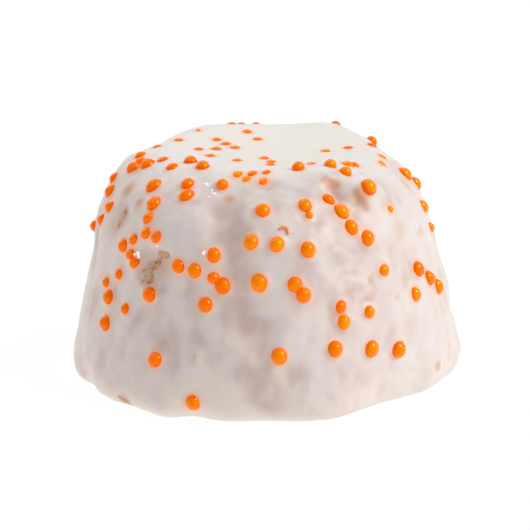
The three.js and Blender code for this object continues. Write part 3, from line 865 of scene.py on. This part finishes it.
def sprinkle_finish():
    """Orange sugar, some redder than others at random and those on the left redder as painted shade, with
    painted shade towards the glaze and a painted glow.
    """
    colours = settings().colours
    finish = Finish("orange_sugar")
    even = finish.places()
    clouds = finish.noise(even, size=0.7 * MM, detail=2.0)
    cloudy = finish.between(clouds, low=0.35, high=0.65, first=-0.15, last=0.15)
    tint = finish.mix(finish.plus(finish.attribute("tone"), cloudy), colours.deep_orange, colours.orange)
    worn = finish.noise(even, size=0.3 * MM)
    uneven = finish.noise(even, size=0.35 * MM, detail=2.0)
    finish.set(
        # Painted shade: sprinkles go redder towards where they meet the glaze.
        base_color=finish.mix(finish.attribute("edge"), tint, colours.painted_shade_and_glow_red, most=0.9),
        roughness=finish.between(worn, low=0.3, high=0.7, first=0.16, last=0.28),
        normal=finish.bump(uneven, distance=0.02 * MM, strength=0.25),
        specular_ior_level=0.45,
        specular_tint=colours.orange_gloss,
        # A painted glow: the sprinkles give off a little red orange light.
        emission_color=colours.painted_shade_and_glow_red,
        emission_strength=0.2,
    )
    return finish.material


def shell_finish():
    """Thin burnt orange sugar, paler in places, with a painted glow."""
    colours = settings().colours
    finish = Finish("broken_sugar")
    clouds = finish.noise(finish.places(), size=0.3 * MM, detail=2.0)
    paler = finish.between(clouds, low=0.4, high=0.7)
    uneven = finish.noise(finish.places(), size=0.2 * MM, detail=2.0)
    finish.set(
        base_color=finish.mix(paler, colours.burnt_orange, colours.deep_orange, most=0.5),
        roughness=0.3,
        normal=finish.bump(uneven, distance=0.02 * MM, strength=0.3),
        # A painted glow: the shell gives off a little burnt orange light.
        emission_color=colours.burnt_orange,
        emission_strength=0.2,
    )
    return finish.material


def crumb_finish():
    """Browned cake crumb."""
    colours = settings().colours
    finish = Finish("brown_crumb")
    even = finish.places()
    clouds = finish.noise(even, size=0.4 * MM, detail=3.0)
    cloudy = finish.between(clouds, low=0.35, high=0.65, first=-0.25, last=0.25)
    pale = finish.between(finish.plus(cloudy, finish.attribute("tone")), low=-0.6, high=1.0)
    rough = finish.noise(even, size=0.12 * MM, detail=3.0)
    finish.set(
        base_color=finish.mix(pale, colours.crumb_dark, colours.pale_crumb_and_highlight),
        roughness=0.8,
        normal=finish.bump(rough, distance=0.04 * MM, strength=0.6),
    )
    return finish.material


def crystal_finish():
    """Clear white sugar, with a painted glow for its glints."""
    colours = settings().colours
    finish = Finish("clear_sugar")
    frosted = finish.noise(finish.places(), size=0.15 * MM, detail=2.0)
    finish.set(
        base_color=colours.sugar,
        roughness=finish.between(frosted, low=0.3, high=0.7, first=0.05, last=0.3),
        subsurface_weight=0.3,
        subsurface_radius=(1, 1, 1),
        subsurface_scale=0.3 * MM,
        # A painted glow: the crystals give off a little white light, as glints.
        emission_color=colours.sugar,
        emission_strength=0.25,
    )
    return finish.material


def hand_over(piece, material):
    """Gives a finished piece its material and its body."""
    piece.data.materials.clear()
    piece.data.materials.append(material)
    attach(piece, BODY)


class CAKE_BITE_OT_glaze_coat(bpy.types.Operator):
    """Spin the cake's outline, lump it and finish it as a coat of glaze"""

    bl_idname = "cake_bite.glaze_coat"
    bl_label = "Glaze coat"

    def execute(self, context):
        coat = self.spun(CakeOutline(settings().cake))
        self.refine(coat)
        self.wrinkle(coat)
        # The hollows, for the painted shade that the material puts in them.
        store(coat, "hollow", hollows_of(coat))
        self.mark_pool(coat)
        bpy.ops.object.shade_smooth()
        hand_over(coat, glaze_finish())
        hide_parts(CAKE_NODE)
        return {"FINISHED"}

    def spun(self, outline):
        """The outline as a chain of points, spun round the axis and lumped."""
        cake = settings().cake
        start_fresh()
        bpy.ops.mesh.primitive_plane_add(size=cake.facet)
        with editing() as coat:
            coat.name = COAT
            self.chain(outline, cake.rings)
            bpy.ops.mesh.select_all(action="SELECT")
            bpy.ops.mesh.spin(
                steps=cake.steps_around, angle=2 * math.pi, center=(0, 0, 0), axis=(0, 0, 1)
            )
            bpy.ops.mesh.select_all(action="SELECT")
            bpy.ops.mesh.remove_doubles(threshold=SAME_POINT)
            bpy.ops.mesh.normals_make_consistent(inside=False)
            self.lump(coat, outline)
        return coat

    def chain(self, outline, rings):
        """Merges the plane into one point and draws it out along the outline."""
        bpy.ops.mesh.select_mode(type="VERT")
        bpy.ops.mesh.merge(type="CENTER")
        last = Vector((0, 0, 0))
        for part in np.linspace(0, 1, rings + 1):
            place = outline.point(0, part)
            bpy.ops.mesh.extrude_vertices_move(TRANSFORM_OT_translate={"value": place - last})
            last = place

    def lump(self, coat, outline):
        """Pulls the glaze out or in at each lump, what lies around following softly."""
        shape = bmesh.from_edit_mesh(coat.data)
        foot = [vertex.index for vertex in shape.verts if vertex.co.z < SAME_POINT]
        for angle, height, reach, push in all_lumps():
            along = outline.share_at_height(height * MM)
            outward = outline.outward(angle, along) * push * MM
            self.pull(coat, outline.point(angle, along), reach * MM, outward)
        shape = bmesh.from_edit_mesh(coat.data)
        shape.verts.ensure_lookup_table()
        bpy.ops.mesh.select_all(action="DESELECT")
        for index in foot:
            shape.verts[index].select_set(True)
        bpy.ops.transform.resize(value=(1, 1, 0), center_override=(0, 0, 0))

    def pull(self, coat, centre, reach, push):
        shape = bmesh.from_edit_mesh(coat.data)
        nearest = min(shape.verts, key=lambda vertex: (vertex.co - centre).length_squared)
        bpy.ops.mesh.select_all(action="DESELECT")
        nearest.select_set(True)
        bpy.ops.transform.translate(
            value=push,
            use_proportional_edit=True,
            proportional_edit_falloff="SMOOTH",
            proportional_size=reach,
        )

    def refine(self, coat):
        """Even small faces, then the relief of the crumb under the glaze."""
        glaze = settings().glaze
        finish_with(coat, "SUBSURF", levels=1, render_levels=1)
        finish_with(coat, "REMESH", mode="VOXEL", voxel_size=settings().cake.facet)
        finish_with(coat, "SMOOTH", factor=0.5, iterations=COAT_SMOOTHINGS)
        off_foot = smoothstep(points_of(coat)[:, 2], *RELIEF_FROM_FOOT)
        level = smoothstep(normals_of(coat)[:, 2], *RELIEF_LEVEL)
        weights = off_foot * (1 - (1 - glaze.pool_share) * level)
        displace(coat, "crumb", weights, glaze.crumb_depth, size=glaze.crumb_size)
        displace(coat, "grain", weights, glaze.grain_depth, size=glaze.grain_size)

    def wrinkle(self, coat):
        """Wrinkles the glaze where it dried thin over crumb, and raises low ridges in it."""
        glaze = settings().glaze
        wrinkled = np.minimum(spots(points_of(coat), CoatSurface(), WRINKLED_PATCHES), 1)
        store(coat, "wrinkled", wrinkled)
        displace(coat, "wrinkles", wrinkled, glaze.wrinkle_depth, size=glaze.wrinkle_size)
        rise = streaks(points_of(coat), CoatSurface(), RIDGES)
        displace(coat, "ridges", rise, glaze.ridge_rise, mid_level=0)

    def mark_pool(self, coat):
        """Marks the clean glaze that lies level on top, and where it is thickest."""
        points, high = points_of(coat), settings().cake.height
        level = smoothstep(normals_of(coat)[:, 2], *POOL_LEVEL)
        store(coat, "pool", level * smoothstep(points[:, 2], high - POOL_DROP[0], high - POOL_DROP[1]))
        from_middle = np.linalg.norm(points - np.array(POOL_MIDDLE) * MM, axis=1)
        store(coat, "ivory", 1 - smoothstep(from_middle, *IVORY_REACH))


def seated(place, normal):
    """A matrix that stands an upright shape in a place, with its up along the normal there."""
    return Matrix.Translation(place) @ normal.to_track_quat("Z", "Y").to_matrix().to_4x4()


class CAKE_BITE_OT_sprinkles(bpy.types.Operator):
    """Press orange sugar sprinkles into the glaze, which climbs a little round each"""

    bl_idname = "cake_bite.sprinkles"
    bl_label = "Sprinkles"

    def execute(self, context):
        sizes = settings().sprinkles
        self.surface = CoatSurface()
        self.outline = self.surface.outline
        self.draw = make_draw(STREW_SEED)
        places = self.in_rows(WALL_ROWS, self.on_wall) + self.in_rows(TOP_ROWS, self.on_top)
        places += self.in_rows(SUNK_ROWS, self.on_top, sizes.shown_on_top)
        places += self.in_rows(SHOULDER_ROWS, self.on_top, sizes.shown_on_wall)
        places += self.in_rows(EDGE_ROWS, self.on_top, sizes.shown_on_edge)
        for heights, angles, count in FAR_BANDS:
            self.strew(places, heights, angles, count)
        placings, shares = self.seats(places)
        self.joined(placings, shares)
        self.wet_glaze(placings, [diameter / 2 for _, _, diameter, _ in places])
        return {"FINISHED"}

    def drawn_diameter(self):
        sizes = settings().sprinkles
        return within((sizes.least, sizes.most), (self.draw() + self.draw()) / 2)

    def on_wall(self, angle, height):
        return angle, self.outline.share_at_height(height * MM)

    def on_top(self, right, behind):
        angle = math.degrees(math.atan2(right, -behind))
        return angle, self.outline.share_at_radius(math.hypot(right, behind) * MM)

    def in_rows(self, rows, place_of, shown=None):
        """The sprinkles of short rows: angle, share of the outline, diameter and how much shows, if set."""
        places = []
        for first, second, size, *row in rows:
            count, *steps = row or (1, 0, 0)
            for i in range(count):
                angle, along = place_of(first + steps[0] * i, second + steps[1] * i)
                diameter = getattr(settings().sprinkles, size) if size else self.drawn_diameter()
                places.append((angle, along, diameter, shown))
        return places

    def strew(self, places, heights, angles, count):
        """Strews a band of the far side: a drawn place is dropped where it crowds another."""
        sizes = settings().sprinkles
        wanted = len(places) + count
        for _ in range(MOST_TRIES):
            if len(places) >= wanted:
                return
            angle = within(angles, self.draw())
            along = self.outline.share_at_height(within(heights, self.draw()) * MM)
            diameter = self.drawn_diameter()
            here = self.outline.point(angle, along)
            others = [self.outline.point(other[0], other[1]) for other in places]
            if any((here - other).length < sizes.free_gap * diameter for other in others):
                continue
            places.append((angle, along, diameter, None))
            if self.draw() < sizes.pair_share:
                places.append(self.partner(angle, along, diameter))

    def partner(self, angle, along, diameter):
        """A second sprinkle against the first, in a drawn direction on the glaze."""
        own = self.drawn_diameter()
        gap = settings().sprinkles.pair_gap * (diameter + own) / 2
        turned = 2 * math.pi * self.draw()
        across = math.degrees(gap * math.cos(turned) / self.outline.at(along)[0])
        return angle + across, along + gap * math.sin(turned) / self.outline.length, own, None

    def seats(self, places):
        """Matrices that set a dome of radius 1 in each place, and how much of each shows."""
        sizes = settings().sprinkles
        draw = make_draw(SHAPE_SEED)
        placings = []
        shares = []
        for angle, along, diameter, shown in places:
            normal = self.surface.normal(angle, along)
            if shown is None:
                level = float(smoothstep(normal.z, sizes.level_from, sizes.level_to))
                shown = within((sizes.shown_on_wall, sizes.shown_on_top), level)
            centre = self.surface.point(angle, along) + normal * diameter * (shown - 0.5)
            stretch = [diameter / 2 * within((1 - sizes.egg, 1 + sizes.egg), draw()) for _ in range(2)]
            spun = Matrix.Rotation(math.pi * draw(), 4, "Z") @ Matrix.Diagonal((*stretch, diameter / 2, 1))
            drawn_out = self.drawn_out(angle, centre.z, normal)
            placings.append(seated(centre, normal) @ drawn_out @ spun)
            shares.append(shown)
        return placings, shares

    def drawn_out(self, angle, height, normal):
        """A stretch in the plane of the glaze that makes a sprinkle taller and lean inwards."""
        sizes = settings().sprinkles
        left = smoothstep(angle, *LEAN_LEFT_BEYOND)
        right = smoothstep(angle, *LEAN_RIGHT_BEYOND) * smoothstep(angle, *LEAN_RIGHT_UNTIL)
        tall = within((1, sizes.tallness), smoothstep(angle, *ROUNDER_ON_LEFT))
        high_left = left * smoothstep(height, *TALL_LEFT_ABOVE)
        tall += sizes.tallness_left * high_left * smoothstep(normal.z, *TALL_WHERE_STEEP)
        lean = sizes.lean_left * left * smoothstep(height, *LEAN_LEFT_ABOVE) - sizes.lean_right * right
        lean *= smoothstep(normal.z, *LEAN_WHERE_STEEP)
        return Matrix(((1, lean, 0, 0), (lean, tall, 0, 0), (0, 0, 1, 0), (0, 0, 0, 1)))

    def master(self):
        """One sprinkle: a ball of radius 1 with its pole up, cut flat below where it sinks in."""
        start_fresh()
        bpy.ops.mesh.primitive_uv_sphere_add(segments=DOME_SEGMENTS, ring_count=DOME_RINGS, radius=1)
        with editing() as dome:
            keep_side((0, 0, 1), DOME_CUT, fill=True)
        return dome

    def joined(self, placings, shares):
        """All sprinkles as one mesh, each with its own tone, held redder on the left as painted shade, and
        marked where it meets the glaze for painted shade.
        """
        master = self.master()
        heights = points_of(master)[:, 2]
        sprinkles = joined_copies("sprinkles", master, placings)
        draw = make_draw(TONE_SEED)
        rights = np.array([placing.translation.x for placing in placings])
        # Painted shade: sprinkles on the left keep less of their tone, so they come out redder.
        lighter = within((DEEPEST_PAINTED_SHADE, 1), smoothstep(rights, *PAINTED_SHADE_ON_LEFT))
        store(sprinkles, "tone", np.repeat([draw() * most for most in lighter], len(heights)))
        # Painted shade: a band just above where each sprinkle meets the glaze.
        edges = [1 - smoothstep(heights - (1 - 2 * shown), 0, CONTACT_SHADE_WIDTH * 2 * shown) for shown in shares]
        store(sprinkles, "edge", np.concatenate(edges))
        hand_over(sprinkles, sprinkle_finish())

    def wet_glaze(self, placings, radii):
        """Raises the glaze and colours it round each sprinkle."""
        coat, glaze = bpy.data.objects[COAT], settings().glaze
        points = points_of(coat)
        gap = np.full(len(points), np.inf)
        for placing, radius in zip(placings, radii):
            gap = np.minimum(gap, np.linalg.norm(points - np.array(placing.translation), axis=1) - radius)
        steep = 1 - COLLAR_LOST_ON_TOP * smoothstep(normals_of(coat)[:, 2], *COLLAR_LEVEL)
        climb = steep * (1 - smoothstep(gap, 0, glaze.collar_width))
        displace(coat, "collar", climb, glaze.collar_rise, mid_level=0)
        # The dye mask also sets where the glaze has its painted glow.
        store(coat, "dye", np.clip(1 - gap / glaze.dye_width, 0, 1) ** DYE_FALL)


def joined_copies(name, master, placings):
    """One object holding a copy of the master under each matrix. The master is removed."""
    points = points_of(master)
    faces = [list(face.vertices) for face in master.data.polygons]
    all_points = []
    all_faces = []
    for i, placing in enumerate(placings):
        matrix = np.array(placing)
        all_points.append(points @ matrix[:3, :3].T + matrix[:3, 3])
        all_faces += [[corner + i * len(points) for corner in face] for face in faces]
    mesh = bpy.data.meshes.new(name)
    mesh.from_pydata(np.concatenate(all_points).tolist(), [], all_faces)
    mesh.shade_smooth()
    piece = bpy.data.objects.new(name, mesh)
    bpy.context.scene.collection.objects.link(piece)
    bpy.data.objects.remove(master)
    return piece


class CAKE_BITE_OT_bare_crumb(bpy.types.Operator):
    """Wear the glaze thin and bare where the cake shows, and mark tan smears and patches of painted shade
    and sheen
    """

    bl_idname = "cake_bite.bare_crumb"
    bl_label = "Bare crumb"

    def execute(self, context):
        coat, glaze = bpy.data.objects[COAT], settings().glaze
        surface, points = CoatSurface(), points_of(coat)
        bare = streaks(points, surface, BARE_STREAKS, BARE_SPREAD)
        store(coat, "bare", bare)
        # Thin and thick glaze, with painted shade and sheen in some of the patches.
        store(coat, "thin", spots(points, surface, THIN_AND_SHADED_PATCHES))
        # Tan smears, partly painted shade in the hollows beside the knob.
        store(coat, "tan", np.minimum(spots(points, surface, TAN_AND_SHADE_SMEARS), 1))
        displace(coat, "pits", bare, glaze.pit_depth, PIT_MIDDLE, glaze.pit_size, PIT_DETAIL)
        return {"FINISHED"}


def set_on(surface, angle, height, size, draw, lift=0.0):
    """A matrix that sets a small bit on the glaze, turned at random and raised by a share of its size."""
    along = surface.outline.share_at_height(height * MM)
    place = surface.point(angle, along) + surface.normal(angle, along) * size * lift
    turn_by = 2 * math.pi * draw()
    axis = Vector((draw(), draw(), draw() + SAME_POINT)).normalized()
    turned = Matrix.Rotation(turn_by, 4, axis)
    return Matrix.Translation(place) @ turned @ Matrix.Diagonal((size, size, size, 1))


class CAKE_BITE_OT_crumb_grains(bpy.types.Operator):
    """Leave grains of crumb in the bare streaks and a chip of crumb on the glaze"""

    bl_idname = "cake_bite.crumb_grains"
    bl_label = "Crumb grains"

    def execute(self, context):
        sizes = settings().sprinkles
        surface = CoatSurface()
        draw = make_draw(GRAIN_SEED)
        placings = []
        for start, end, half_width, how in BARE_STREAKS:
            for _ in range(round(GRAINS_PER_STREAK * how)):
                part = draw()
                angle = within((start[0], end[0]), part) + GRAIN_TURN * half_width * (draw() - 0.5) * 2
                height = within((start[1], end[1]), part) + half_width * (draw() - 0.5) * 2
                size = within((sizes.grain_least, sizes.grain_most), draw() ** 2)
                placings.append(set_on(surface, angle, max(height, GRAIN_LOWEST), size, draw, GRAIN_LIFT))
        chip = set_on(surface, *CHIP_PLACE, sizes.grain_least * CHIP_SIZE, lambda: 0, CHIP_LIFT)
        placings.append(chip @ Matrix.Diagonal((*CHIP_STRETCH, 1)))
        master = self.master()
        per_copy = len(master.data.vertices)
        grains = joined_copies("crumb_grains", master, placings)
        tones = [draw() for _ in placings[:-1]] + [1]
        store(grains, "tone", np.repeat(tones, per_copy))
        hand_over(grains, crumb_finish())
        return {"FINISHED"}

    def master(self):
        """A lumpy grain of radius about 1."""
        start_fresh()
        bpy.ops.mesh.primitive_ico_sphere_add(subdivisions=2, radius=1)
        with editing() as grain:
            bpy.ops.transform.vertex_random(offset=GRAIN_LUMPS, seed=GRAIN_SHAPE_SEED)
        return grain


class CAKE_BITE_OT_sugar_crystals(bpy.types.Operator):
    """Leave a few sugar crystals on the glaze"""

    bl_idname = "cake_bite.sugar_crystals"
    bl_label = "Sugar crystals"

    def execute(self, context):
        size = settings().sprinkles.crystal
        surface = CoatSurface()
        draw = make_draw(CRYSTAL_SEED)
        placings = []
        for angle, height, count in CRYSTAL_CLUSTERS:
            for _ in range(count):
                turn_by = CRYSTAL_SPREAD * (draw() - 0.5)
                climb = CRYSTAL_SPREAD * (draw() - 0.5) / CRYSTAL_CLIMB
                own = size * within(CRYSTAL_SIZES, draw())
                placings.append(set_on(surface, angle + turn_by, height + climb, own, draw, CRYSTAL_LIFT))
        crystals = joined_copies("sugar_crystals", self.master(), placings)
        crystals.data.shade_flat()
        hand_over(crystals, crystal_finish())
        return {"FINISHED"}

    def master(self):
        """A cube of sugar with worn edges, about 2 across."""
        start_fresh()
        bpy.ops.mesh.primitive_cube_add(size=2, scale=CRYSTAL_SHAPE)
        bpy.ops.object.transform_apply(location=False, rotation=False, scale=True)
        with editing() as crystal:
            bpy.ops.mesh.bevel(offset=CRYSTAL_BEVEL, segments=1, affect="EDGES")
        return crystal


class CAKE_BITE_OT_broken_shell(bpy.types.Operator):
    """Stand the shell of a broken sprinkle in the glaze"""

    bl_idname = "cake_bite.broken_shell"
    bl_label = "Broken shell"

    def execute(self, context):
        sizes = settings().sprinkles
        surface = CoatSurface()
        along = surface.outline.share_at_height(SHELL_PLACE[1] * MM)
        normal = surface.normal(SHELL_PLACE[0], along)
        start_fresh()
        bpy.ops.mesh.primitive_uv_sphere_add(segments=32, ring_count=24, radius=sizes.shell_radius)
        with editing() as shell:
            shell.name = "broken_shell"
            for direction, start in SHELL_CUTS:
                keep_side(direction, start * sizes.shell_radius)
        finish_with(shell, "SOLIDIFY", thickness=sizes.shell_wall, offset=-1)
        shell.matrix_world = seated(surface.point(SHELL_PLACE[0], along), normal)
        bpy.ops.object.transform_apply()
        bpy.ops.object.shade_smooth()
        hand_over(shell, shell_finish())
        return {"FINISHED"}


class CAKE_BITE_OT_studio(bpy.types.Operator):
    """Set up the floor, the lights and the camera"""

    bl_idname = "cake_bite.studio"
    bl_label = "Studio"

    def execute(self, context):
        studio = settings().studio
        self.floor(studio)
        self.sky(studio)
        for name in ("key", "back", "glint"):
            self.soft_light(studio, name)
        bpy.data.objects["glint"].visible_diffuse = False
        self.camera(studio)
        context.scene.view_settings.view_transform = "Standard"
        return {"FINISHED"}

    def floor(self, studio):
        start_fresh()
        bpy.ops.mesh.primitive_circle_add(vertices=96, radius=studio.floor_radius, fill_type="NGON")
        floor = bpy.context.active_object
        floor.name = "floor"
        finish = Finish("pale_floor")
        finish.set(
            base_color=studio.floor,
            roughness=0.9,
            specular_ior_level=0.0,
            emission_color=studio.floor,
            emission_strength=studio.floor_glow / studio.floor[0],
        )
        floor.data.materials.append(finish.material)

    def sky(self, studio):
        world = bpy.data.worlds.new("even_sky")
        bpy.context.scene.world = world
        world.use_nodes = True
        background = world.node_tree.nodes["Background"].inputs
        background["Strength"].default_value = studio.sky_strength
        background["Color"].default_value = (1, 1, 1, 1)

    def soft_light(self, studio, name):
        azimuth, elevation = getattr(studio, f"{name}_azimuth"), getattr(studio, f"{name}_elevation")
        toward = around(math.degrees(azimuth), math.cos(elevation), math.sin(elevation))
        lamp = bpy.data.lights.new(name, "SUN")
        lamp.energy = getattr(studio, f"{name}_strength")
        lamp.angle = getattr(studio, f"{name}_spread")
        light = bpy.data.objects.new(name, lamp)
        light.rotation_euler = toward.to_track_quat("Z", "Y").to_euler()
        bpy.context.scene.collection.objects.link(light)

    def camera(self, studio):
        lens = bpy.data.cameras.new("camera")
        lens.lens = studio.camera_lens
        camera = bpy.data.objects.new("camera", lens)
        back = around(0, math.cos(studio.camera_elevation), math.sin(studio.camera_elevation))
        camera.location = Vector(studio.camera_aim) + back * studio.camera_distance
        camera.rotation_euler = back.to_track_quat("Z", "Y").to_euler()
        bpy.context.scene.collection.objects.link(camera)
        bpy.context.scene.camera = camera


STEPS = (
    CAKE_BITE_OT_glaze_coat,
    CAKE_BITE_OT_sprinkles,
    CAKE_BITE_OT_bare_crumb,
    CAKE_BITE_OT_crumb_grains,
    CAKE_BITE_OT_sugar_crystals,
    CAKE_BITE_OT_broken_shell,
    CAKE_BITE_OT_studio,
)


class CAKE_BITE_PT_sidebar(bpy.types.Panel):
    """The cake bite's steps in the sidebar"""

    bl_idname = "CAKE_BITE_PT_sidebar"
    bl_label = "Carrot cake bite"
    bl_space_type = "VIEW_3D"
    bl_region_type = "UI"
    bl_category = "Cake bite"

    def draw(self, context):
        for step in STEPS:
            self.layout.operator(step.bl_idname)


CLASSES = (
    CakeSizes,
    GlazeSizes,
    SprinkleSizes,
    CakeColours,
    StudioSettings,
    CakeBiteSettings,
    *STEPS,
    CAKE_BITE_PT_sidebar,
)


def register():
    for each in CLASSES:
        bpy.utils.register_class(each)
    bpy.types.Scene.cake_bite = PointerProperty(type=CakeBiteSettings)


def unregister():
    del bpy.types.Scene.cake_bite
    for each in reversed(CLASSES):
        bpy.utils.unregister_class(each)


def main():
    register()
    bpy.ops.cake_bite.glaze_coat()
    bpy.ops.cake_bite.sprinkles()
    bpy.ops.cake_bite.bare_crumb()
    bpy.ops.cake_bite.crumb_grains()
    bpy.ops.cake_bite.sugar_crystals()
    bpy.ops.cake_bite.broken_shell()
    bpy.ops.cake_bite.studio()


if __name__ == "__main__":
    main()
